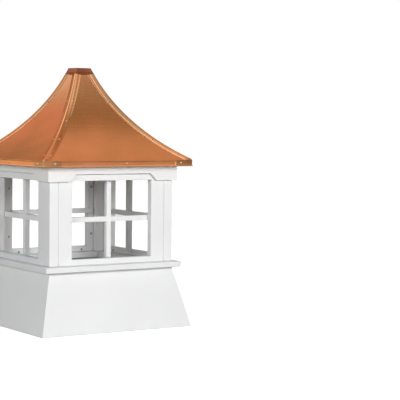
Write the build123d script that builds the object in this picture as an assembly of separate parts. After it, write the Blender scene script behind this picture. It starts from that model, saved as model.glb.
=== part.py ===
from build123d import *
import os
from math import hypot, sqrt

# A square roof cupola: a flared skirt, a sill, a four-window lantern and a bell-curved copper roof.
# Millimetres, +Z up, the origin at the centre of the square on which the skirt stands.
# Every ring of four mitred sides is drawn as the section of its right-hand side, where the sketch's
# X is the distance out from the centre line and its Y is the height.

# Flared skirt, wide enough at the foot to straddle a roof ridge
skirt_width = 609.6
skirt_height = 218.0
skirt_board = 19.0

# Lantern body
body_width = 501.6
wall_thickness = 25.4
wall_height = 351.0

# Sill between the skirt and the lantern
sill_thickness = 20.0
sill_overhang = 25.4
sill_board_width = 89.0
sill_edge_radius = 2.5

# Corner posts and the cleats screwed behind them
post_leg = 35.0
post_edge_ease = 1.2
cleat_width = 38.0
cleat_thickness = 19.0

# Window opening in each wall, and the crossed bars fixed behind it
opening_width = 324.0
opening_height = 277.0
opening_above_sill = 22.0
opening_edge_ease = 1.2
bar_width = 18.0
bar_depth = 19.0
bar_lap = 8.0

# Frieze with a dropped end at each corner
frieze_thickness = 12.2
frieze_height = 28.0
frieze_drop = 25.5
frieze_drop_width = 85.0
frieze_drop_slope = 25.5

# Roof deck, copper fascia and bell-curved copper roof
deck_thickness = 18.0
copper_thickness = 1.2
eave_overhang = 41.8
fascia_kick_out = 1.5
fascia_kick_height = 5.0
fascia_reach_below = 2.0
fascia_lip = 10.0
drip_height = 2.0
roof_rise = 329.0
roof_top_width = 58.0
roof_curve_radius = 660.0
roof_panel_thickness = 6.0

# Folded caps over the four hips, each with a boot round its corner of the fascia
roof_gap = 0.3
hip_flange_top = 23.6
hip_flange_foot = 28.4
hip_crest_height = 3.5
hip_crest_half_width = 4.5
boot_length = 70.0

# Hood that closes the top of the roof
hood_height = 22.0
hood_wall = 3.5
hood_top_thickness = 3.0

# Levels and half widths that the pieces share
skirt_half = skirt_width / 2
body_half = body_width / 2
inner_half = body_half - wall_thickness
sill_half = body_half + sill_overhang
frieze_half = body_half + frieze_thickness
eave_half = frieze_half + eave_overhang
fascia_half = eave_half - copper_thickness - fascia_kick_out
deck_half = fascia_half - copper_thickness
roof_top_half = roof_top_width / 2

sill_bottom = skirt_height
wall_bottom = sill_bottom + sill_thickness
wall_top = wall_bottom + wall_height
opening_bottom = wall_bottom + opening_above_sill
opening_top = opening_bottom + opening_height
frieze_line = wall_top - frieze_height
frieze_bottom = frieze_line - frieze_drop
deck_top = wall_top + deck_thickness
fascia_bottom = wall_top - fascia_reach_below
roof_eave = deck_top + drip_height
roof_top = roof_eave + roof_rise
hood_top = roof_top + hood_top_thickness
hood_bottom = hood_top - hood_height

# Centre of the roof's curve, out beyond the eave and above it, so that the slope hollows inward
curve_run = fascia_half - roof_top_half
curve_chord = hypot(curve_run, roof_rise)
curve_reach = sqrt(roof_curve_radius**2 - (curve_chord / 2) ** 2)
curve_x = (fascia_half + roof_top_half) / 2 + curve_reach * roof_rise / curve_chord
curve_z = (roof_eave + roof_top) / 2 + curve_reach * curve_run / curve_chord

side_turns = {"right": 0, "back": 90, "left": 180, "front": 270}
corner_turns = {"back_right": 0, "back_left": 90, "front_left": 180, "front_right": 270}


def turned(shape, degrees):
    return Rot(0, 0, degrees) * shape


def upright(section):
    return Plane.XZ * section


def wedge(reach):
    """The quarter of the plan that belongs to the right-hand side, cut along both diagonals."""
    outline = make_face(Polyline((0, 0), (reach, -reach), (reach, reach), close=True))
    return extrude(outline, amount=hood_top)


def mitred_side(section, reach):
    """One side of a square ring: its section run along the side and mitred at both corners."""
    return extrude(upright(section), amount=reach, both=True) & wedge(reach)


def roof_half_at(height, offset):
    """Half width of the roof at a height, on a surface that stands off it by an offset."""
    return curve_x - sqrt((roof_curve_radius - offset) ** 2 - (curve_z - height) ** 2)


def roof_arc(offset, low, high):
    """The roof's curve at an offset outward, from a low level up to a high one."""
    heights = (low, (low + high) / 2, high)
    return ThreePointArc(*[(roof_half_at(height, offset), height) for height in heights])


def roof_band(inner, outer, low, high):
    """Section of a sheet that follows the roof between two offsets."""
    inside = roof_arc(inner, low, high)
    outside = roof_arc(outer, low, high)
    ends = [Line(inside @ 0, outside @ 0), Line(inside @ 1, outside @ 1)]
    return make_face([inside, outside] + ends)


def roof_block(offset, low, high):
    """Solid square block whose four sides follow the roof at an offset."""
    arc = roof_arc(offset, low, high)
    outline = Polyline(arc @ 1, (0, high), (0, low), arc @ 0)
    side = mitred_side(make_face([arc, outline]), roof_half_at(low, offset))
    return side + [turned(side, turn) for turn in (90, 180, 270)]


def skirt_side():
    slant = hypot(skirt_half - body_half, skirt_height)
    across = skirt_board * slant / skirt_height
    foot = [(skirt_half, 0), (skirt_half - across, 0)]
    head = [(body_half - across, skirt_height), (body_half, skirt_height)]
    return mitred_side(make_face(Polyline(*foot, *head, close=True)), skirt_half)


def sill_side():
    corner = (sill_half - sill_board_width, sill_bottom)
    board = Pos(*corner) * Rectangle(sill_board_width, sill_thickness, align=(Align.MIN, Align.MIN))
    nosing = board.vertices().group_by(Axis.X)[-1]
    return mitred_side(fillet(nosing, sill_edge_radius), sill_half)


def corner_post():
    """An L-shaped post whose inside angle is flush with the walls' inner faces."""
    square = Pos(body_half, body_half) * Rectangle(post_leg, post_leg, align=(Align.MAX, Align.MAX))
    hollow = Pos(inner_half, inner_half) * Rectangle(post_leg, post_leg, align=(Align.MAX, Align.MAX))
    post = extrude(Pos(0, 0, wall_bottom) * (square - hollow), amount=wall_height)
    uprights = post.edges().filter_by(Axis.Z)
    eased = body_half - post_edge_ease
    outer = [edge for edge in uprights if max(edge.center().X, edge.center().Y) > eased]
    return chamfer(outer, post_edge_ease)


def corner_cleat():
    corner = (inner_half, inner_half, wall_bottom)
    return Pos(*corner) * Box(
        cleat_width, cleat_thickness, wall_height, align=(Align.MAX, Align.MAX, Align.MIN)
    )


def window_wall():
    """The board between two posts, with its window cut through and the outer edges eased."""
    width = body_width - 2 * post_leg
    board = Pos(inner_half, 0, wall_bottom) * Box(
        wall_thickness, width, wall_height, align=(Align.MIN, Align.CENTER, Align.MIN)
    )
    opening = Pos(inner_half, 0, opening_bottom) * Box(
        wall_thickness, opening_width, opening_height, align=(Align.MIN, Align.CENTER, Align.MIN)
    )
    wall = board - opening
    face = wall.faces().sort_by(Axis.X)[-1]
    rim = face.inner_wires()[0].edges()
    sides = face.outer_wire().edges().filter_by(Axis.Z)
    return chamfer(rim + sides, opening_edge_ease)


def window_bars():
    """A vertical and a level bar crossed flush, lapped on the back of the wall round the opening."""
    middle = opening_bottom + opening_height / 2
    align = (Align.MAX, Align.CENTER, Align.CENTER)
    vertical = Box(bar_depth, bar_width, opening_height + 2 * bar_lap, align=align)
    level = Box(bar_depth, opening_width + 2 * bar_lap, bar_width, align=align)
    return Pos(inner_half, 0, middle) * (vertical + level)


def frieze_side():
    corner = (body_half, frieze_bottom)
    height = frieze_height + frieze_drop
    board = Pos(*corner) * Rectangle(frieze_thickness, height, align=(Align.MIN, Align.MIN))
    side = mitred_side(board, frieze_half)
    foot_half = frieze_half - frieze_drop_width
    head_half = foot_half - frieze_drop_slope
    foot = [(foot_half, frieze_bottom), (-foot_half, frieze_bottom)]
    head = [(-head_half, frieze_line), (head_half, frieze_line)]
    notch = make_face(Polyline(*foot, *head, close=True))
    return side - extrude(Plane.YZ * notch, amount=frieze_half)


def roof_deck():
    return Pos(0, 0, wall_top) * Box(
        2 * deck_half, 2 * deck_half, deck_thickness, align=(Align.CENTER, Align.CENTER, Align.MIN)
    )


def fascia_line(stand_off, top):
    """Outside face of the fascia, with its kicked-out foot, at a stand-off outward."""
    half = fascia_half + stand_off
    foot = (half + fascia_kick_out, fascia_bottom)
    return [(half, top), (half, fascia_bottom + fascia_kick_height), foot]


def fascia_side():
    outside = fascia_line(0, deck_top)
    lip = [(deck_half - fascia_lip, fascia_bottom), (deck_half - fascia_lip, wall_top)]
    inside = [(deck_half, wall_top), (deck_half, deck_top)]
    section = make_face(Polyline(*outside, *lip, *inside, close=True))
    return mitred_side(section, fascia_half + fascia_kick_out)


def roof_side():
    section = roof_band(-roof_panel_thickness, 0, deck_top, roof_top)
    return mitred_side(section, fascia_half)


def hip_strip(outer, top_width, foot_width):
    """One flank of a hip cap: the part of a sheet on the roof that lies beside the hip."""
    top = roof_half_at(hood_bottom, roof_gap + outer)
    foot = fascia_half + copper_thickness
    plan = make_face(
        Polyline((top, top), (foot, foot), (foot, foot - foot_width), (top, top - top_width), close=True)
    )
    sheet = roof_band(roof_gap, roof_gap + outer, deck_top, hood_bottom)
    return extrude(upright(sheet), amount=foot, both=True) & extrude(plan, amount=hood_top)


def hip_cap():
    """Two flanges and a raised crest folded from one strip, with a boot over the fascia's corner."""
    flange = hip_strip(copper_thickness, hip_flange_top, hip_flange_foot)
    crest = hip_strip(hip_crest_height, hip_crest_half_width, hip_crest_half_width)
    boot_top = roof_eave + copper_thickness
    outside = fascia_line(copper_thickness, boot_top)
    inside = fascia_line(0, boot_top)
    boot_section = make_face(Polyline(*outside, *reversed(inside), close=True))
    near_corner = Pos(0, eave_half - boot_length) * Rectangle(eave_half, boot_length, align=Align.MIN)
    boot = mitred_side(boot_section, eave_half) & extrude(near_corner, amount=hood_top)
    flank = flange + crest + boot
    return flank + mirror(flank, about=Plane(origin=(0, 0, 0), z_dir=(1, -1, 0)))


def roof_hood():
    """Hollow square hood that follows the roof and closes its top."""
    outer = roof_block(roof_gap + hood_wall, hood_bottom, hood_top)
    return outer - roof_block(roof_gap, hood_bottom, roof_top)


def build():
    pieces = {"roof_deck": roof_deck(), "roof_hood": roof_hood()}
    side_makers = {
        "skirt": skirt_side,
        "sill": sill_side,
        "wall": window_wall,
        "window_bars": window_bars,
        "frieze": frieze_side,
        "fascia": fascia_side,
        "roof": roof_side,
    }
    for name, maker in side_makers.items():
        piece = maker()
        for side, turn in side_turns.items():
            pieces[f"{name}_{side}"] = turned(piece, turn)
    post = corner_post()
    cap = hip_cap()
    cleat = corner_cleat()
    for corner, turn in corner_turns.items():
        pieces[f"post_{corner}"] = turned(post, turn)
        pieces[f"hip_cap_{corner}"] = turned(cap, turn)
    for back, along in (("back", 0), ("front", 1)):
        for right, across in (("right", 0), ("left", 1)):
            piece = mirror(cleat, about=Plane.XZ) if along else cleat
            piece = mirror(piece, about=Plane.YZ) if across else piece
            pieces[f"cleat_{back}_{right}"] = piece
    return pieces


os.makedirs("parts", exist_ok=True)
for name, piece in build().items():
    piece.label = name
    export_step(piece, f"parts/{name}.step")
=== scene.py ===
from math import atan2, cos, hypot, pi, radians, sin, sqrt

import bmesh
import bpy
from mathutils import Matrix, Vector


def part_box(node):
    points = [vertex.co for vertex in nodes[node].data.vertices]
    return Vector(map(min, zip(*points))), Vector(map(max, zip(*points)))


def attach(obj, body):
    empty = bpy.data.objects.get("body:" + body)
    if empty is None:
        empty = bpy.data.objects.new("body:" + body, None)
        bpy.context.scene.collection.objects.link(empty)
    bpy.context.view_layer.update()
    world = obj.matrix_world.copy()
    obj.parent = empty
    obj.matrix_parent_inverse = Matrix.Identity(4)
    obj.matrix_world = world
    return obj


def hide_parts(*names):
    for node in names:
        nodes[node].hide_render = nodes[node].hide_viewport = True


# The looks of a square roof cupola: white cellular PVC boards below, a bell-curved copper roof above.
# Sizes are in millimetres and are turned into Blender's metres by MM.
MM = 0.001

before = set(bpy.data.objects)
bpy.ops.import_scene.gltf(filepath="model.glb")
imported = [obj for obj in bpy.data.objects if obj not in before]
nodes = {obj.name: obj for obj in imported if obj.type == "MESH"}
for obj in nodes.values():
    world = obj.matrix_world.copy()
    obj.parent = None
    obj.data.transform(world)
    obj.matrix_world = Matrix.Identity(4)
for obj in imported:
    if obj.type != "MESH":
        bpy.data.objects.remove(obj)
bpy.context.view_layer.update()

# The camera at the photograph's viewing angle
image_side = 400
focal_pixels = 1466.86
sensor_width = 36.0
camera_place = Vector((-2600.1, -4789.5, 772.1)) * MM
camera_heading = radians(-33.2252)
camera_dip = radians(3.3042)
camera_roll = radians(0.5889)


def make_camera():
    level = Vector((cos(camera_heading), sin(camera_heading), 0))
    ahead = Vector((-sin(camera_heading), cos(camera_heading), 0))
    forward = ahead * cos(camera_dip) - Vector((0, 0, sin(camera_dip)))
    above = level.cross(forward)
    right = level * cos(camera_roll) + above * sin(camera_roll)
    up = above * cos(camera_roll) - level * sin(camera_roll)
    data = bpy.data.cameras.new("camera")
    data.sensor_width = sensor_width
    data.lens = focal_pixels / image_side * sensor_width
    camera = bpy.data.objects.new("camera", data)
    bpy.context.scene.collection.objects.link(camera)
    aim = Matrix((right, up, -forward)).transposed().to_4x4()
    camera.matrix_world = Matrix.Translation(camera_place) @ aim
    bpy.context.scene.camera = camera


make_camera()

# Sizes that the roof's sheets share with the solids under them
eave_half = -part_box("hip_cap_front_left")[0].x / MM
deck_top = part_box("roof_deck")[1].z / MM
fascia_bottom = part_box("fascia_front")[0].z / MM
hood_low, hood_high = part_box("roof_hood")
hood_bottom = hood_low.z / MM
hood_top = hood_high.z / MM
copper_thickness = 1.2
fascia_kick_out = 1.5
fascia_kick_height = 4.2
fascia_half = eave_half - copper_thickness - fascia_kick_out
drip_height = 2.0
roof_eave = deck_top + drip_height
hood_top_thickness = 3.0
roof_top = hood_top - hood_top_thickness
roof_top_half = 29.0
curve_radius = 660.0
panel_thickness = 6.0
sheet_gap = 0.3
hood_wall = 3.5

# The centre of the roof's curve, out beyond the eave and above it
curve_run = fascia_half - roof_top_half
curve_rise = roof_top - roof_eave
curve_chord = hypot(curve_run, curve_rise)
curve_reach = sqrt(curve_radius**2 - (curve_chord / 2) ** 2)
curve_out = (fascia_half + roof_top_half) / 2 + curve_reach * curve_rise / curve_chord
curve_height = (roof_eave + roof_top) / 2 + curve_reach * curve_run / curve_chord

side_turns = {"front": 0.0, "right": pi / 2, "back": pi, "left": -pi / 2}
corner_turns = {"front_left": 0.0, "front_right": pi / 2, "back_right": pi, "back_left": -pi / 2}


def linear(hex_colour):
    """An sRGB hex colour as the linear values that Blender's sockets take."""
    parts = [int(hex_colour[place : place + 2], 16) / 255 for place in (0, 2, 4)]
    return tuple(p / 12.92 if p <= 0.04045 else ((p + 0.055) / 1.055) ** 2.4 for p in parts) + (1.0,)


def add(tree, kind, inputs=(), **settings):
    """Adds a node with its settings; an input is a socket to link, or a value, by place or by name."""
    node = tree.nodes.new(kind)
    for name, value in settings.items():
        setattr(node, name, value)
    pairs = inputs.items() if isinstance(inputs, dict) else enumerate(inputs)
    for place, value in pairs:
        if isinstance(value, bpy.types.NodeSocket):
            tree.links.new(value, node.inputs[place])
        elif value is not None:
            node.inputs[place].default_value = value
    return node


def new_material(name):
    """An empty material, and its tree with only the output in it."""
    material = bpy.data.materials.new(name)
    material.use_nodes = True
    tree = material.node_tree
    tree.nodes.clear()
    return material, tree, add(tree, "ShaderNodeOutputMaterial")


def copper_sheet(name, bright, worn, roughness):
    """Cold-rolled copper, bent by hand: warm and shiny, softly dented, with faint rolling lines."""
    material, tree, output = new_material(name)
    place = add(tree, "ShaderNodeTexCoord").outputs["Object"]
    # Handling and heat leave patches a hand or two across
    patches = add(tree, "ShaderNodeTexNoise", {"Vector": place, "Scale": 7.0, "Detail": 3.0})
    spread = add(tree, "ShaderNodeMapRange", [patches.outputs["Fac"], 0.35, 0.65, 0.0, 1.0])
    colour = add(
        tree,
        "ShaderNodeMix",
        {0: spread.outputs[0], 6: linear(bright), 7: linear(worn)},
        data_type="RGBA",
    )
    # Rolling lines are under 1 mm apart, drawn about 3 mm apart so that they show
    lines_place = add(tree, "ShaderNodeMapping", {"Vector": place, "Scale": (3.0, 3.0, 330.0)})
    lines = add(tree, "ShaderNodeTexNoise", {"Vector": lines_place.outputs[0], "Scale": 1.0, "Detail": 2.0})
    gloss = add(
        tree, "ShaderNodeMapRange", [lines.outputs["Fac"], 0.3, 0.7, roughness - 0.02, roughness + 0.02]
    )
    # The sheet's soft dents are about 180 mm across
    dents = add(tree, "ShaderNodeTexNoise", {"Vector": place, "Scale": 5.5, "Detail": 1.0})
    dented = add(tree, "ShaderNodeBump", {"Height": dents.outputs["Fac"], "Distance": 4 * MM})
    lined = add(
        tree,
        "ShaderNodeBump",
        {"Height": lines.outputs["Fac"], "Distance": 0.02 * MM, "Normal": dented.outputs[0]},
    )
    shader = add(
        tree,
        "ShaderNodeBsdfPrincipled",
        {
            "Base Color": colour.outputs[2],
            "Metallic": 1.0,
            "Specular Tint": linear("F2CAC5"),
            "Roughness": gloss.outputs[0],
            "Normal": lined.outputs[0],
        },
    )
    tree.links.new(shader.outputs[0], output.inputs["Surface"])
    return material


def cellular_pvc(name, colour):
    """Expanded PVC trim board: plain white with a satin skin, a trace of orange peel and painted shade in
    its joints and inner corners.
    """
    material, tree, output = new_material(name)
    place = add(tree, "ShaderNodeTexCoord").outputs["Object"]
    clouds = add(tree, "ShaderNodeTexNoise", {"Vector": place, "Scale": 6.0, "Detail": 4.0})
    shade = add(
        tree,
        "ShaderNodeMix",
        {0: clouds.outputs["Fac"], 6: linear(colour), 7: linear("E8E8E7")},
        data_type="RGBA",
    )
    # Painted shade: ambient occlusion darkens the last few millimetres before joints and inner corners
    # towards grey, where shade falls
    joint = add(tree, "ShaderNodeAmbientOcclusion", {"Distance": 7 * MM}, samples=8)
    unshaded_share = add(tree, "ShaderNodeMapRange", [joint.outputs["AO"], 0.35, 0.8, 0.0, 1.0])
    shade = add(
        tree,
        "ShaderNodeMix",
        {0: unshaded_share.outputs[0], 6: linear("828180"), 7: shade.outputs[2]},
        data_type="RGBA",
    )
    gloss = add(tree, "ShaderNodeMapRange", [clouds.outputs["Fac"], 0.3, 0.7, 0.36, 0.44])
    # Orange peel is about 1.5 mm across on such a board
    peel = add(tree, "ShaderNodeTexNoise", {"Vector": place, "Scale": 650.0, "Detail": 1.0})
    bumpy = add(tree, "ShaderNodeBump", {"Height": peel.outputs["Fac"], "Distance": 0.03 * MM})
    shader = add(
        tree,
        "ShaderNodeBsdfPrincipled",
        {
            "Base Color": shade.outputs[2],
            "Roughness": gloss.outputs[0],
            "IOR": 1.53,
            "Specular IOR Level": 0.35,
            "Normal": bumpy.outputs[0],
        },
    )
    tree.links.new(shader.outputs[0], output.inputs["Surface"])
    return material


def plywood():
    """Bare exterior plywood: a rotary-cut face veneer, matt, with long wavy grain."""
    material, tree, output = new_material("exterior_plywood")
    place = add(tree, "ShaderNodeTexCoord").outputs["Object"]
    grain_place = add(tree, "ShaderNodeMapping", {"Vector": place, "Scale": (1.6, 14.0, 60.0)})
    sweep = add(
        tree, "ShaderNodeTexNoise", {"Vector": grain_place.outputs[0], "Scale": 1.0, "Distortion": 1.2}
    )
    grain = add(
        tree,
        "ShaderNodeTexWave",
        {"Vector": grain_place.outputs[0], "Scale": 0.9, "Distortion": 7.0, "Detail": 3.0},
        bands_direction="Y",
    )
    tone = add(tree, "ShaderNodeMath", [sweep.outputs["Fac"], grain.outputs["Fac"]], operation="MULTIPLY")
    colour = add(
        tree,
        "ShaderNodeMix",
        {0: tone.outputs[0], 6: linear("D3B58A"), 7: linear("A57F54")},
        data_type="RGBA",
    )
    rough = add(tree, "ShaderNodeBump", {"Height": grain.outputs["Fac"], "Distance": 0.15 * MM})
    shader = add(
        tree,
        "ShaderNodeBsdfPrincipled",
        {"Base Color": colour.outputs[2], "Roughness": 0.75, "Normal": rough.outputs[0]},
    )
    tree.links.new(shader.outputs[0], output.inputs["Surface"])
    return material


def zinc_plate():
    """Zinc-plated steel screw heads, dulled to a mid grey with a fine crystal mottle."""
    material, tree, output = new_material("zinc_plated_steel")
    place = add(tree, "ShaderNodeTexCoord").outputs["Object"]
    mottle = add(tree, "ShaderNodeTexNoise", {"Vector": place, "Scale": 400.0, "Detail": 2.0})
    colour = add(
        tree,
        "ShaderNodeMix",
        {0: mottle.outputs["Fac"], 6: linear("7A7B7D"), 7: linear("A3A4A6")},
        data_type="RGBA",
    )
    gloss = add(tree, "ShaderNodeMapRange", [mottle.outputs["Fac"], 0.3, 0.7, 0.32, 0.48])
    shader = add(
        tree,
        "ShaderNodeBsdfPrincipled",
        {"Base Color": colour.outputs[2], "Metallic": 1.0, "Roughness": gloss.outputs[0]},
    )
    tree.links.new(shader.outputs[0], output.inputs["Surface"])
    return material


# The roof, hips and fascia are bright sheet. The hood is a darker copper, the boots are dulled by handling,
# and the fascia's rivets are the brightest: their paler copper is a painted highlight standing in for the
# glints on their domes.
bright_copper = copper_sheet("bright_copper_sheet", "E4905F", "D68B57", 0.26)
dark_copper = copper_sheet("darker_copper_sheet", "A35B3C", "874730", 0.3)
handled_copper = copper_sheet("handled_copper_sheet", "C4885A", "B0784E", 0.26)
# Painted highlight: the rivets' paler, brighter copper stands in for the glints on their domes
glint_brightened_rivet_copper = copper_sheet("glint_brightened_copper_rivets", "F4C48E", "E8AE72", 0.2)
white_board = cellular_pvc("white_cellular_pvc", "EFEFEF")
deck_board = plywood()
screw_steel = zinc_plate()


def new_piece(name, mesh, material=None, corner_angle=35):
    """A finished piece: smooth but for its corners, on the only body, with the given material if there is
    one.
    """
    mesh.name = name
    mesh.shade_smooth()
    mesh.set_sharp_from_angle(angle=radians(corner_angle))
    if material:
        mesh.materials.clear()
        mesh.materials.append(material)
    piece = bpy.data.objects.new(name, mesh)
    bpy.context.scene.collection.objects.link(piece)
    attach(piece, "root")
    return piece


# Boards: how far each one's sharp edges are eased
side_ease = {"skirt": 0.5, "sill": 0.6, "wall": 0.4, "window_bars": 0.9, "frieze": 0.8}
corner_ease = {"post": 0.5, "cleat": 0.8}
board_corner_angle = 30
joining_distance = 0.01
flat_angle = radians(1)


def finished_board(node, ease):
    """A copy of a solid with its loose triangles joined and its sharp edges eased a little."""
    form = bmesh.new()
    form.from_mesh(nodes[node].data)
    bmesh.ops.remove_doubles(form, verts=form.verts, dist=joining_distance * MM)
    bmesh.ops.dissolve_limit(form, angle_limit=flat_angle, verts=form.verts, edges=form.edges)
    mesh = bpy.data.meshes.new(node + "_board")
    form.to_mesh(mesh)
    form.free()
    board = new_piece(node + "_board", mesh, white_board, board_corner_angle)
    bevel = board.modifiers.new("eased edges", "BEVEL")
    bevel.limit_method = "ANGLE"
    bevel.angle_limit = radians(board_corner_angle)
    bevel.width = ease * MM
    bevel.segments = 2
    bevel.harden_normals = True
    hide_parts(node)


for part, ease in side_ease.items():
    for side in side_turns:
        finished_board(f"{part}_{side}", ease)
for corner in corner_turns:
    for part, ease in corner_ease.items():
        finished_board(f"{part}_{corner}", ease)

nodes["roof_deck"].data.materials.clear()
nodes["roof_deck"].data.materials.append(deck_board)


# Geometry Nodes: every tree's sizes are named inputs in metres
def geometry_tree(name, inputs, outputs=(("Geometry", "NodeSocketGeometry"),)):
    tree = bpy.data.node_groups.new(name, "GeometryNodeTree")
    for label, kind in outputs:
        tree.interface.new_socket(label, in_out="OUTPUT", socket_type=kind)
    for label, kind, value in inputs:
        socket = tree.interface.new_socket(label, in_out="INPUT", socket_type=kind)
        if value is not None:
            socket.default_value = value
    return tree, add(tree, "NodeGroupInput").outputs, add(tree, "NodeGroupOutput")


def made_by(tree, values, start=None):
    """The plain mesh that a tree makes with these input values."""
    mesh = start or bpy.data.meshes.new("start")
    holder = bpy.data.objects.new("holder", mesh)
    bpy.context.scene.collection.objects.link(holder)
    modifier = holder.modifiers.new("tree", "NODES")
    modifier.node_group = tree
    for item in tree.interface.items_tree:
        if item.in_out == "INPUT" and item.name in values:
            modifier[item.identifier] = values[item.name]
    graph = bpy.context.evaluated_depsgraph_get()
    result = bpy.data.meshes.new_from_object(holder.evaluated_get(graph))
    holder.modifiers.remove(modifier)
    bpy.data.objects.remove(holder)
    return result


FLOAT = "NodeSocketFloat"
INTEGER = "NodeSocketInt"


def bell_curve_tree():
    """Half width of the roof at a height, on a surface that stands off it."""
    tree, given, output = geometry_tree(
        "bell curve",
        [
            ("Height", FLOAT, 0.0),
            ("Stand Off", FLOAT, 0.0),
            ("Curve Out", FLOAT, curve_out * MM),
            ("Curve Height", FLOAT, curve_height * MM),
            ("Curve Radius", FLOAT, curve_radius * MM),
        ],
        [("Half Width", FLOAT)],
    )
    radius = add(tree, "ShaderNodeMath", [given["Curve Radius"], given["Stand Off"]], operation="SUBTRACT")
    drop = add(tree, "ShaderNodeMath", [given["Curve Height"], given["Height"]], operation="SUBTRACT")
    radius_squared = add(tree, "ShaderNodeMath", [radius.outputs[0], 2.0], operation="POWER")
    drop_squared = add(tree, "ShaderNodeMath", [drop.outputs[0], 2.0], operation="POWER")
    left = add(
        tree, "ShaderNodeMath", [radius_squared.outputs[0], drop_squared.outputs[0]], operation="SUBTRACT"
    )
    reach = add(tree, "ShaderNodeMath", [left.outputs[0]], operation="SQRT")
    half = add(tree, "ShaderNodeMath", [given["Curve Out"], reach.outputs[0]], operation="SUBTRACT")
    tree.links.new(half.outputs[0], output.inputs[0])
    return tree


bell_curve = bell_curve_tree()


def turn_and_finish(tree, given, output, geometry):
    """Ends a tree: turns the piece about Z to its side or corner, and gives it its material."""
    spin = add(tree, "ShaderNodeCombineXYZ", [0.0, 0.0, given["Turn"]])
    turned = add(tree, "GeometryNodeTransform", {"Geometry": geometry, "Rotation": spin.outputs[0]})
    finish = add(
        tree, "GeometryNodeSetMaterial", {"Geometry": turned.outputs[0], "Material": given["Finish"]}
    )
    tree.links.new(finish.outputs[0], output.inputs[0])


def bell_panel_tree():
    """One side of the roof: a block of Columns by Rows bent to the curve and mitred at both hips."""
    tree, given, output = geometry_tree(
        "bell panel",
        [
            ("Lowest", FLOAT, roof_eave * MM),
            ("Highest", FLOAT, roof_top * MM),
            ("Sheet Thickness", FLOAT, panel_thickness * MM),
            ("Dent Depth", FLOAT, 0.0),
            ("Dent Seed", FLOAT, 0.0),
            ("Columns", INTEGER, 33),
            ("Rows", INTEGER, 49),
            ("Turn", FLOAT, 0.0),
            ("Finish", "NodeSocketMaterial", None),
        ],
    )
    block = add(tree, "GeometryNodeMeshCube", [None, given["Columns"], 2, given["Rows"]])
    position = add(tree, "GeometryNodeInputPosition")
    apart = add(tree, "ShaderNodeSeparateXYZ", [position.outputs[0]])
    across = add(tree, "ShaderNodeMath", [apart.outputs["X"], 2.0], operation="MULTIPLY")
    depth = add(tree, "ShaderNodeMath", [apart.outputs["Y"], 0.5], operation="ADD")
    height = add(
        tree, "ShaderNodeMapRange", [apart.outputs["Z"], -0.5, 0.5, given["Lowest"], given["Highest"]]
    )
    # The dents fade out towards the four edges, where the sheet is held
    noise_place = add(
        tree, "ShaderNodeCombineXYZ", [apart.outputs["X"], given["Dent Seed"], apart.outputs["Z"]]
    )
    noise = add(tree, "ShaderNodeTexNoise", {"Vector": noise_place.outputs[0], "Scale": 3.2, "Detail": 1.0})
    across_squared = add(
        tree, "ShaderNodeMath", [across.outputs[0], across.outputs[0]], operation="MULTIPLY"
    )
    held_across = add(tree, "ShaderNodeMapRange", [across_squared.outputs[0], 0.0, 1.0, 1.0, 0.0])
    rise = add(tree, "ShaderNodeMath", [apart.outputs["Z"], 2.0], operation="MULTIPLY")
    rise_squared = add(tree, "ShaderNodeMath", [rise.outputs[0], rise.outputs[0]], operation="MULTIPLY")
    held_up = add(tree, "ShaderNodeMapRange", [rise_squared.outputs[0], 0.0, 1.0, 1.0, 0.0])
    dent = add(tree, "ShaderNodeMath", [noise.outputs[0], given["Dent Depth"]], operation="MULTIPLY")
    dent = add(tree, "ShaderNodeMath", [dent.outputs[0], held_across.outputs[0]], operation="MULTIPLY")
    dent = add(tree, "ShaderNodeMath", [dent.outputs[0], held_up.outputs[0]], operation="MULTIPLY")
    inset = add(
        tree,
        "ShaderNodeMath",
        [depth.outputs[0], given["Sheet Thickness"], dent.outputs[0]],
        operation="MULTIPLY_ADD",
    )
    stand_off = add(tree, "ShaderNodeMath", [0.0, inset.outputs[0]], operation="SUBTRACT")
    half = add(
        tree,
        "GeometryNodeGroup",
        {"Height": height.outputs[0], "Stand Off": stand_off.outputs[0]},
        node_tree=bell_curve,
    )
    x = add(tree, "ShaderNodeMath", [across.outputs[0], half.outputs[0]], operation="MULTIPLY")
    y = add(tree, "ShaderNodeMath", [0.0, half.outputs[0]], operation="SUBTRACT")
    bent = add(tree, "ShaderNodeCombineXYZ", [x.outputs[0], y.outputs[0], height.outputs[0]])
    panel = add(
        tree, "GeometryNodeSetPosition", {"Geometry": block.outputs[0], "Position": bent.outputs[0]}
    )
    turn_and_finish(tree, given, output, panel.outputs[0])
    return tree


bell_panel = bell_panel_tree()
dent_depth = 1.6
dent_seed_step = 3.7
for count, (side, turn) in enumerate(side_turns.items()):
    sizes = {
        "Dent Depth": dent_depth * MM,
        "Dent Seed": dent_seed_step * count,
        "Turn": turn,
        "Finish": bright_copper,
    }
    panel = new_piece(f"bell_panel_{side}", made_by(bell_panel, sizes))
    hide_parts(f"roof_{side}")


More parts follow.
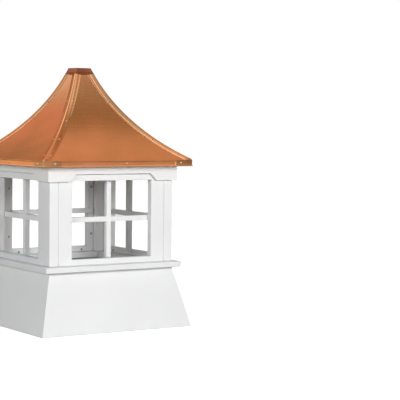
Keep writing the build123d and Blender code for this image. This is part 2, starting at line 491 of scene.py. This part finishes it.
def hip_cap_tree():
    """Bends a straight strip over one hip. The strip's X is the distance from the hip, its Y the lift
    off the roof and its Z the share of the way up."""
    tree, given, output = geometry_tree(
        "hip cap",
        [
            ("Strip", "NodeSocketGeometry", None),
            ("Lowest", FLOAT, roof_eave * MM),
            ("Highest", FLOAT, hood_bottom * MM),
            ("Narrowing At Top", FLOAT, 0.83),
            ("Waver", FLOAT, 0.0012),
            ("Foot Half Width", FLOAT, (fascia_half + copper_thickness) * MM),
            ("Turn", FLOAT, 0.0),
            ("Finish", "NodeSocketMaterial", None),
        ],
    )
    position = add(tree, "GeometryNodeInputPosition")
    apart = add(tree, "ShaderNodeSeparateXYZ", [position.outputs[0]])
    height = add(
        tree, "ShaderNodeMapRange", [apart.outputs["Z"], 0.0, 1.0, given["Lowest"], given["Highest"]]
    )
    narrowing = add(
        tree, "ShaderNodeMapRange", [apart.outputs["Z"], 0.0, 1.0, 1.0, given["Narrowing At Top"]]
    )
    # Folded by hand, the strip wanders a little from side to side on its way up
    up_only = add(tree, "ShaderNodeCombineXYZ", [given["Turn"], 0.0, apart.outputs["Z"]])
    wander = add(tree, "ShaderNodeTexNoise", {"Vector": up_only.outputs[0], "Scale": 7.0, "Detail": 1.0})
    centred = add(tree, "ShaderNodeMath", [wander.outputs[0], 0.5], operation="SUBTRACT")
    shift = add(tree, "ShaderNodeMath", [centred.outputs[0], given["Waver"]], operation="MULTIPLY")
    away = add(
        tree,
        "ShaderNodeMath",
        [apart.outputs["X"], narrowing.outputs[0], shift.outputs[0]],
        operation="MULTIPLY_ADD",
    )
    half = add(
        tree,
        "GeometryNodeGroup",
        {"Height": height.outputs[0], "Stand Off": apart.outputs["Y"]},
        node_tree=bell_curve,
    )
    # Above the boot the strip is trimmed plumb
    half = add(tree, "ShaderNodeMath", [half.outputs[0], given["Foot Half Width"]], operation="MINIMUM")
    along_front = add(tree, "ShaderNodeMath", [away.outputs[0], 0.0], operation="MAXIMUM")
    along_left = add(tree, "ShaderNodeMath", [away.outputs[0], 0.0], operation="MINIMUM")
    x = add(tree, "ShaderNodeMath", [along_front.outputs[0], half.outputs[0]], operation="SUBTRACT")
    y = add(tree, "ShaderNodeMath", [along_left.outputs[0], half.outputs[0]], operation="ADD")
    y = add(tree, "ShaderNodeMath", [0.0, y.outputs[0]], operation="SUBTRACT")
    bent = add(tree, "ShaderNodeCombineXYZ", [x.outputs[0], y.outputs[0], height.outputs[0]])
    strip = add(tree, "GeometryNodeSetPosition", {"Geometry": given["Strip"], "Position": bent.outputs[0]})
    turn_and_finish(tree, given, output, strip.outputs[0])
    return tree


def loft(rings):
    """A closed skin over rings of equal count, capped at both ends."""
    form = bmesh.new()
    rows = [[form.verts.new(Vector(point) * MM) for point in ring] for ring in rings]
    count = len(rows[0])
    for one, other in zip(rows, rows[1:]):
        for k in range(count):
            after = (k + 1) % count
            form.faces.new((one[k], one[after], other[after], other[k]))
    form.faces.new(rows[0])
    form.faces.new(rows[-1])
    bmesh.ops.recalc_face_normals(form, faces=form.faces)
    return form


def turned_form(form, turn):
    bmesh.ops.rotate(form, verts=form.verts, cent=(0, 0, 0), matrix=Matrix.Rotation(turn, 3, "Z"))
    return form


def mesh_of(*forms):
    """One mesh from several forms."""
    joined = bmesh.new()
    for form in forms:
        part = bpy.data.meshes.new("part")
        form.to_mesh(part)
        form.free()
        joined.from_mesh(part)
        bpy.data.meshes.remove(part)
    mesh = bpy.data.meshes.new("joined")
    joined.to_mesh(mesh)
    joined.free()
    return mesh


def bends(first, last, steps):
    """Angles along a roll in even steps, both ends included; first and last are shares of a half turn."""
    return [pi * (first + (last - first) * k / steps) for k in range(steps + 1)]


# The fascia's kicked foot: where its bend starts above the kick, one point on the bend, and its roll
kick_bend_start = 1.2
kick_bend_out = 0.15
kick_bend_height = 0.2
kick_roll_radius = 1.7
kick_roll = bends(0.12, -0.5, steps=5)


def fascia_outside(stand_off, top):
    """The fascia's outside face from its top to its kicked-out foot, as (out, height) pairs."""
    half = fascia_half + stand_off
    kick_top = fascia_bottom + fascia_kick_height
    outside = [
        (half, top),
        (half, kick_top + kick_bend_start),
        (half + kick_bend_out, kick_top + kick_bend_height),
    ]
    for bend in kick_roll:
        out = half + fascia_kick_out - kick_roll_radius * (1 - cos(bend))
        outside.append((out, fascia_bottom + kick_roll_radius * (1 + sin(bend))))
    return outside


# Boots: each is a piece of its own at the foot of a hip cap, wrapped round the corner of the fascia
boot_length = 70.0
boot_fold_radius = 1.6
boot_fold_steps = 6
boot_top = roof_eave + copper_thickness


def boot_form():
    """The front left boot: a sheet on the fascia's outside face, rounded where it folds."""
    section = fascia_outside(copper_thickness, boot_top) + fascia_outside(0.0, boot_top)[::-1]
    steps = [(0.0, boot_length), (0.0, boot_fold_radius)]
    for k in range(1, boot_fold_steps):
        bend = pi / 2 * k / boot_fold_steps
        steps.append((boot_fold_radius * (1 - cos(bend)), boot_fold_radius * (1 - sin(bend))))
    steps += [(boot_fold_radius, 0.0), (boot_length, 0.0)]
    return loft([[(x - out, y - out, height) for out, height in section] for x, y in steps])


# The hip cap's strip, before it is bent: a round crest, two sprung flanges, each rolled at its fold,
# and a thin lap that lies flat on the roof
lap_width = 28.4
lap_gap = 0.05
lap_lift = 0.4
lap_edge_drop = 0.1
lap_edge_run = 0.2
fold_at_foot = 24.5
fold_at_head = 18.0
fold_radius = 1.3
fold_margin = 0.2
fold_roll = bends(0.06, 0.83, steps=7)
flange_end_from_fold = 3.0
flange_hollow = 1.6
flange_steps = 7
crest_half = 4.5
crest_lift = 3.7
crest_drop = 1.0
crest_steps = 5
strip_steps = 64
strip_length = 1000.0


def strip_lift(distance, fold):
    """Lift of the strip's upper face off the roof, at a distance from the hip."""
    if distance < crest_half:
        return crest_lift - crest_drop * (1 - distance / crest_half) ** 2
    share = (distance - crest_half) / (fold - crest_half)
    return crest_lift - (crest_lift - lap_lift) * share**flange_hollow


def strip_section(fold):
    """The strip cut across, as (distance, lift) pairs from one lap over the crest to the other."""
    flank = [
        (lap_width, lap_lift - lap_edge_drop),
        (lap_width - lap_edge_run, lap_lift),
        (fold + fold_margin, lap_lift),
    ]
    for bend in fold_roll:
        flank.append((fold - fold_radius * (1 - cos(bend)), lap_lift + fold_radius * sin(bend)))
    flange_end = fold - flange_end_from_fold
    distances = [flange_end + (crest_half - flange_end) * k / flange_steps for k in range(flange_steps)]
    distances += [crest_half * (1 - k / crest_steps) for k in range(crest_steps)]
    flank += [(distance, strip_lift(distance, fold)) for distance in distances]
    middle = [(0.0, strip_lift(0.0, fold))]
    under = [(-lap_width, lap_gap), (0.0, lap_gap), (lap_width, lap_gap)]
    return flank + middle + [(-across, lift) for across, lift in flank[::-1]] + under


def straight_strip():
    """The closed strip, with its way up the hip as Z from 0 to 1 m."""
    rings = []
    for k in range(strip_steps + 1):
        share = k / strip_steps
        fold = fold_at_foot + (fold_at_head - fold_at_foot) * share
        rings.append([(across, lift, strip_length * share) for across, lift in strip_section(fold)])
    return mesh_of(loft(rings))


hip_cap = hip_cap_tree()
for corner, turn in corner_turns.items():
    sizes = {"Turn": turn, "Finish": bright_copper}
    cap = new_piece(f"hip_cap_fold_{corner}", made_by(hip_cap, sizes, straight_strip()))
    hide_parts(f"hip_cap_{corner}")
    boot = mesh_of(turned_form(boot_form(), turn))
    new_piece(f"hip_boot_{corner}", boot, handled_copper)

# Fascia: a folded strip on each side of the deck, mitred at the corners under the boots
fascia_lip = 10.0
fascia_corner_angle = 50
deck_half = fascia_half - copper_thickness
fascia_section = fascia_outside(0.0, deck_top) + [
    (deck_half - fascia_lip, fascia_bottom),
    (deck_half - fascia_lip, fascia_bottom + copper_thickness),
    (deck_half, fascia_bottom + copper_thickness),
    (deck_half, deck_top),
]

# Hem: the roof sheet's own edge, rolled over the fascia's top from one boot to the next
eave_roll_radius = 2.1
eave_roll_out = fascia_half + 2.2
eave_roll_height = roof_eave - 1.2
hem_back = fascia_half - 3.0
hem_top = roof_eave + 0.9
hem_foot = roof_eave - 1.4
hem_section = [(hem_back, hem_top)]
for bend in bends(0.52, -0.43, steps=11):
    out = eave_roll_out - eave_roll_radius * (1 - cos(bend))
    hem_section.append((out, eave_roll_height + eave_roll_radius * sin(bend)))
hem_section.append((hem_back, hem_foot))


def front_run(section, half_length=None):
    """A closed (out, height) section along the front, mitred at the corners or cut to a half length."""
    ends = [[(sign * (half_length or out), -out, height) for out, height in section] for sign in (-1, 1)]
    return loft(ends)


for side, turn in side_turns.items():
    strip = turned_form(front_run(fascia_section), turn)
    hem = turned_form(front_run(hem_section, eave_half - boot_length), turn)
    both = mesh_of(strip, hem)
    fascia = new_piece(f"fascia_strip_{side}", both, bright_copper, fascia_corner_angle)
    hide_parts(f"fascia_{side}")


# Hood: a hollow square cap with rounded folds
def half_at(height, stand_off):
    """Half width of the roof at a height, on a surface that stands off it."""
    return curve_out - sqrt((curve_radius - stand_off) ** 2 - (curve_height - height) ** 2)


def rounded_square(half, radius, height, steps=5):
    """A level square outline with rounded corners."""
    points = []
    for quarter in range(4):
        for k in range(steps + 1):
            bend = pi / 2 * (quarter + k / steps)
            centre_x = (half - radius) * (1 if quarter in (0, 3) else -1)
            centre_y = (half - radius) * (1 if quarter in (0, 1) else -1)
            points.append((centre_x + radius * cos(bend), centre_y + radius * sin(bend), height))
    return points


hood_corner_radius = 3.4
hood_inner_radius = 0.5
hood_clearance = 0.1
hood_inset = 0.8
hood_corner_angle = 40
# The outside from the lip up the slope: height above the foot, and how far in from the outermost skin
hood_slope = [(0.0, 0.9), (0.4, 0.2), (1.0, 0.0), (3.0, 0.0)]
hood_slope += [(rise, hood_inset) for rise in (4.0, 8.0, 12.0, 16.0)]
# Over the rim: how far in from the slope's head, how far below the top, and the corner's radius
hood_rim = [(0.0, 1.5, 3.4), (0.5, 0.4, 3.4), (1.6, 0.0, 2.8), (14.0, 0.0, 2.8)]


def hood_form():
    """The hood's skin: down the inside, round the lip, up the slope and in across the top."""
    outer = sheet_gap + hood_wall
    rings = []
    for height in (roof_top + hood_clearance, hood_bottom + 16, hood_bottom + 8, hood_bottom):
        inside = half_at(height, sheet_gap) + hood_clearance
        rings.append(rounded_square(inside, hood_inner_radius, height))
    for rise, inward in hood_slope:
        height = hood_bottom + rise
        rings.append(rounded_square(half_at(height, outer) - inward, hood_corner_radius, height))
    head = half_at(hood_top - hood_rim[0][1], outer) - hood_inset
    for inward, drop, radius in hood_rim:
        rings.append(rounded_square(head - inward, radius, hood_top - drop))
    return loft(rings)


hood = new_piece("hood_cap", mesh_of(hood_form()), dark_copper, hood_corner_angle)
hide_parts("roof_hood")


# Fasteners: heads are turned on a profile, then set at marked places by one tree
def turned_head(profile, sides=16):
    """A head turned about Z from (radius, height) pairs, from its centre top down to its rim."""
    form = bmesh.new()
    rows = []
    for radius, height in profile:
        turns = [2 * pi * k / sides for k in range(sides if radius else 1)]
        ring = [(radius * cos(turn) * MM, radius * sin(turn) * MM, height * MM) for turn in turns]
        rows.append([form.verts.new(place) for place in ring])
    for one, other in zip(rows, rows[1:]):
        for k in range(sides):
            after = (k + 1) % sides
            corners = [one[k % len(one)], other[k], other[after], one[after % len(one)]]
            form.faces.new(list(dict.fromkeys(corners)))
    form.faces.new(rows[-1])
    bmesh.ops.recalc_face_normals(form, faces=form.faces)
    mesh = bpy.data.meshes.new("head")
    form.to_mesh(mesh)
    form.free()
    mesh.shade_smooth()
    return bpy.data.objects.new("head", mesh)


def fastener_tree():
    """Sets a head at every vertex, facing along its Facing attribute and spun at random."""
    tree, given, output = geometry_tree(
        "fasteners at places",
        [
            ("Geometry", "NodeSocketGeometry", None),
            ("Head", "NodeSocketObject", None),
            ("Head Size", FLOAT, 1.0),
            ("Seed", INTEGER, 4),
            ("Finish", "NodeSocketMaterial", None),
        ],
    )
    head = add(tree, "GeometryNodeObjectInfo", [given["Head"]])
    facing = add(tree, "GeometryNodeInputNamedAttribute", ["facing"], data_type="FLOAT_VECTOR")
    aimed = add(tree, "FunctionNodeAlignRotationToVector", {"Vector": facing.outputs[0]}, axis="Z")
    places = add(
        tree,
        "GeometryNodeInstanceOnPoints",
        {
            "Points": given["Geometry"],
            "Instance": head.outputs["Geometry"],
            "Rotation": aimed.outputs[0],
            "Scale": given["Head Size"],
        },
    )
    chance = add(tree, "FunctionNodeRandomValue", {"Max": 2 * pi, "Seed": given["Seed"]}, data_type="FLOAT")
    angle = [socket for socket in chance.outputs if socket.enabled][0]
    spin = add(tree, "ShaderNodeCombineXYZ", [0.0, 0.0, angle])
    spun = add(
        tree, "GeometryNodeRotateInstances", {"Instances": places.outputs[0], "Rotation": spin.outputs[0]}
    )
    real = add(tree, "GeometryNodeRealizeInstances", [spun.outputs[0]])
    finish = add(
        tree, "GeometryNodeSetMaterial", {"Geometry": real.outputs[0], "Material": given["Finish"]}
    )
    tree.links.new(finish.outputs[0], output.inputs[0])
    return tree


fasteners = fastener_tree()


def set_fasteners(name, head, places, material):
    """Heads at (place, facing) pairs on the front, repeated on all four sides."""
    points = []
    facings = []
    for turn in side_turns.values():
        spin = Matrix.Rotation(turn, 3, "Z")
        for place, facing in places:
            points.append(spin @ Vector(place) * MM)
            facings.append(spin @ Vector(facing))
    marks = bpy.data.meshes.new("marks")
    marks.from_pydata(points, [], [])
    attribute = marks.attributes.new("facing", "FLOAT_VECTOR", "POINT")
    for k, facing in enumerate(facings):
        attribute.data[k].vector = facing
    mesh = made_by(fasteners, {"Head": head, "Seed": len(points), "Finish": material}, marks)
    new_piece(name, mesh, material)


# Blind rivets: a domed head with the dimple of its broken stem
rivet_head = turned_head(
    [(0, 1.1), (0.7, 1.1), (1.0, 1.45), (2.1, 1.3), (3.1, 0.95), (3.9, 0.5), (4.3, 0.1), (4.4, -0.4)]
)
rivet_spacing = 89.0
marked_rivet_height = 683.5
rivet_from_hip = 15.5
rivet_sunk = 0.2


def hip_rivet_places():
    """Two rows up each side, one beside each hip, at even steps along the slope from a marked rivet."""
    places = []
    radius = curve_radius - strip_lift(rivet_from_hip, fold_at_foot) + rivet_sunk
    drop = curve_height - marked_rivet_height
    first = atan2(drop, sqrt(radius**2 - drop**2))
    for step in (-1, 0, 1, 2):
        slant = first - step * rivet_spacing / radius
        out = curve_out - radius * cos(slant)
        height = curve_height - radius * sin(slant)
        for side in (-1, 1):
            places.append(((side * (out - rivet_from_hip), -out, height), (0, -cos(slant), sin(slant))))
    return places


fascia_rivet_height = 598.8
boot_rivet_from_corner = 49.0
fascia_joint = 30.6
rivet_places = []
boot_face = fascia_half + copper_thickness
for side in (-1, 1):
    place = (side * (eave_half - boot_rivet_from_corner), -boot_face, fascia_rivet_height)
    rivet_places.append((place, (0, -1, 0)))
rivet_places.append(((fascia_joint, -fascia_half, fascia_rivet_height), (0, -1, 0)))
set_fasteners("hip_rivets", rivet_head, hip_rivet_places(), bright_copper)
set_fasteners("fascia_rivets", rivet_head, rivet_places, glint_brightened_rivet_copper)

# Screws: pan heads with a round recess, on the walls' inner faces
screw_head = turned_head(
    [(0, 0.9), (1.2, 0.9), (1.5, 2.0), (2.6, 1.9), (3.6, 1.2), (4.0, 0.4), (4.0, -0.2)]
)
inner_half = 225.4
# Two beside each edge of the opening and one under it, by distance from the middle and height
screw_marks = ((177.0, 489.6), (177.0, 307.0), (135.0, 246.5))
screw_places = []
for side in (-1, 1):
    for across, height in screw_marks:
        screw_places.append(((side * across, -inner_half, height), (0, 1, 0)))
set_fasteners("wall_screws", screw_head, screw_places, screw_steel)


# Pale floor, soft studio light and a white surround
def make_floor():
    mesh = bpy.data.meshes.new("studio_floor")
    reach = 9000 * MM
    corners = [(-reach, -reach, 0), (reach, -reach, 0), (reach, reach, 0), (-reach, reach, 0)]
    mesh.from_pydata(corners, [], [(0, 1, 2, 3)])
    floor = bpy.data.objects.new("studio_floor", mesh)
    bpy.context.scene.collection.objects.link(floor)
    material, tree, output = new_material("pale_studio_floor")
    matt = add(tree, "ShaderNodeBsdfDiffuse", {"Color": linear("D4D4D4")})
    # Pure white to the eye far off, and a little less near the cupola, so that its shadow shows
    place = add(tree, "ShaderNodeTexCoord").outputs["Object"]
    far = add(tree, "ShaderNodeVectorMath", [place], operation="LENGTH")
    level = add(tree, "ShaderNodeMapRange", [far.outputs["Value"], 0.8, 3.0, 0.86, 1.0])
    path = add(tree, "ShaderNodeLightPath")
    lift = add(
        tree, "ShaderNodeMath", [path.outputs["Is Camera Ray"], level.outputs[0]], operation="MULTIPLY"
    )
    glow = add(tree, "ShaderNodeEmission", {"Color": (1, 1, 1, 1), "Strength": lift.outputs[0]})
    both = add(tree, "ShaderNodeAddShader", [matt.outputs[0], glow.outputs[0]])
    tree.links.new(both.outputs[0], output.inputs["Surface"])
    mesh.materials.append(material)


make_floor()

ambient_level = 0.08
horizon_colour = "CCCCCC"
ceiling_colour = "A89F86"
# Bright cards that show only in reflections: direction, cosines of the angles at their edge and at their
# even middle, colour and level. Beside each is the copper that it was set for.
cards = [
    ((0.24, 0.43, 0.87), (0.80, 0.93), "F0F4FF", 0.46),  # low on the front of the roof
    ((-0.26, 0.88, 0.40), (0.90, 0.99), "FFEAFF", 0.45),  # left side of the roof
    ((-0.36, 0.87, 0.33), (0.98, 0.995), "70D4FF", 1.6),  # top of the left side
    ((0.12, 0.90, 0.43), (0.97, 0.995), "80FFC0", 0.16),  # foot of the left side
    ((-0.10, -0.05, 0.99), (0.87, 0.95), "D0E8FF", 1.3),  # crests of the hip caps
    ((0.50, -0.79, 0.36), (0.955, 0.99), "D8E0FF", 1.3),  # kicked foot of the fascia and eave roll
    ((0.75, -0.48, 0.46), (0.935, 0.99), "C8E8FF", 1.0),  # front flange of the near hip
    ((0.68, -0.37, 0.63), (0.98, 0.996), "86CAFF", 1.4),  # brightest upper part of that flange
    ((-0.75, -0.45, 0.49), (0.28, 0.40), "95CEFF", 0.8),  # flange of the right hip
    ((-0.75, -0.50, 0.43), (0.80, 0.93), "A5D4FF", 3.0),  # fold lines of the right and left hips
    ((-0.68, -0.25, 0.69), (0.86, 0.95), "A5D4FF", 2.0),  # lower part of those fold lines
    ((0.46, -0.89, 0.02), (0.985, 0.997), "E4E8FF", 0.3),  # front fascia
    ((0.08, -0.99, 0.10), (0.97, 0.99), "E4E8FF", 2.2),  # glints at the corners, as of the front softbox
    ((-0.83, -0.54, 0.12), (0.965, 0.99), "E4E8FF", 3.0),  # glints at the corners, as of the left softbox
    ((0.40, 0.91, 0.08), (0.98, 0.998), "80F0FF", 1.0),  # left flange of the near hip, low down
    ((-0.43, 0.90, -0.03), (0.95, 0.99), "E8F8D8", 0.7),  # left fascia
]


def make_surround():
    """White to the eye; in reflections, a pale horizon, a darker ceiling and the bright cards."""
    world = bpy.data.worlds.new("studio")
    bpy.context.scene.world = world
    world.use_nodes = True
    tree = world.node_tree
    tree.nodes.clear()
    direction = add(tree, "ShaderNodeTexCoord").outputs["Generated"]
    apart = add(tree, "ShaderNodeSeparateXYZ", [direction])
    overhead = add(
        tree,
        "ShaderNodeMapRange",
        [apart.outputs["Z"], -0.02, 0.14, 0.0, 1.0],
        interpolation_type="SMOOTHSTEP",
    )
    shown = add(
        tree,
        "ShaderNodeMix",
        {0: overhead.outputs[0], 6: linear(horizon_colour), 7: linear(ceiling_colour)},
        data_type="RGBA",
    ).outputs[2]
    for aim, (edge, middle), colour, card_level in cards:
        facing = add(
            tree, "ShaderNodeVectorMath", [direction, Vector(aim).normalized()], operation="DOT_PRODUCT"
        )
        card = add(
            tree,
            "ShaderNodeMapRange",
            [facing.outputs["Value"], edge, middle, 0.0, card_level],
            interpolation_type="SMOOTHSTEP",
        )
        lit = add(
            tree,
            "ShaderNodeVectorMath",
            {0: linear(colour)[:3], "Scale": card.outputs[0]},
            operation="SCALE",
        )
        shown = add(tree, "ShaderNodeVectorMath", [shown, lit.outputs[0]], operation="ADD").outputs[0]
    path = add(tree, "ShaderNodeLightPath")
    reflected = add(
        tree,
        "ShaderNodeMix",
        {0: path.outputs["Is Glossy Ray"], 6: (ambient_level,) * 3 + (1.0,), 7: shown},
        data_type="RGBA",
    )
    seen = add(
        tree,
        "ShaderNodeMath",
        [path.outputs["Is Camera Ray"], path.outputs["Is Transmission Ray"]],
        operation="MAXIMUM",
    )
    level = add(
        tree,
        "ShaderNodeMix",
        {0: seen.outputs[0], 6: reflected.outputs[2], 7: (1.0, 1.0, 1.0, 1.0)},
        data_type="RGBA",
    )
    background = add(tree, "ShaderNodeBackground", {"Color": level.outputs[2]})
    add(tree, "ShaderNodeOutputWorld", [background.outputs[0]])


make_surround()

softbox_distance = 4500.0
softbox_aim_height = 450.0


def make_softbox(name, azimuth, elevation, width, height, watts):
    """A softbox aimed at the cupola's middle; azimuth 0 is straight in front, positive to the right."""
    data = bpy.data.lights.new(name, "AREA")
    data.shape = "RECTANGLE"
    data.size = width * MM
    data.size_y = height * MM
    data.energy = watts
    lamp = bpy.data.objects.new(name, data)
    bpy.context.scene.collection.objects.link(lamp)
    turn = radians(azimuth)
    lift = radians(elevation)
    way = Vector((sin(turn) * cos(lift), -cos(turn) * cos(lift), sin(lift)))
    lamp.location = (way * softbox_distance + Vector((0, 0, softbox_aim_height))) * MM
    lamp.rotation_mode = "QUATERNION"
    lamp.rotation_quaternion = (-way).to_track_quat("-Z", "Y")
    lamp.visible_glossy = False


make_softbox("front_softbox", 5, 15, 1400, 1500, 105)
make_softbox("left_softbox", -58, 12, 2200, 1300, 91)
make_softbox("right_softbox", 60, 4, 1200, 800, 17)
make_softbox("back_softbox", 180, 14, 2600, 1500, 38)

bpy.context.scene.view_settings.view_transform = "Standard"
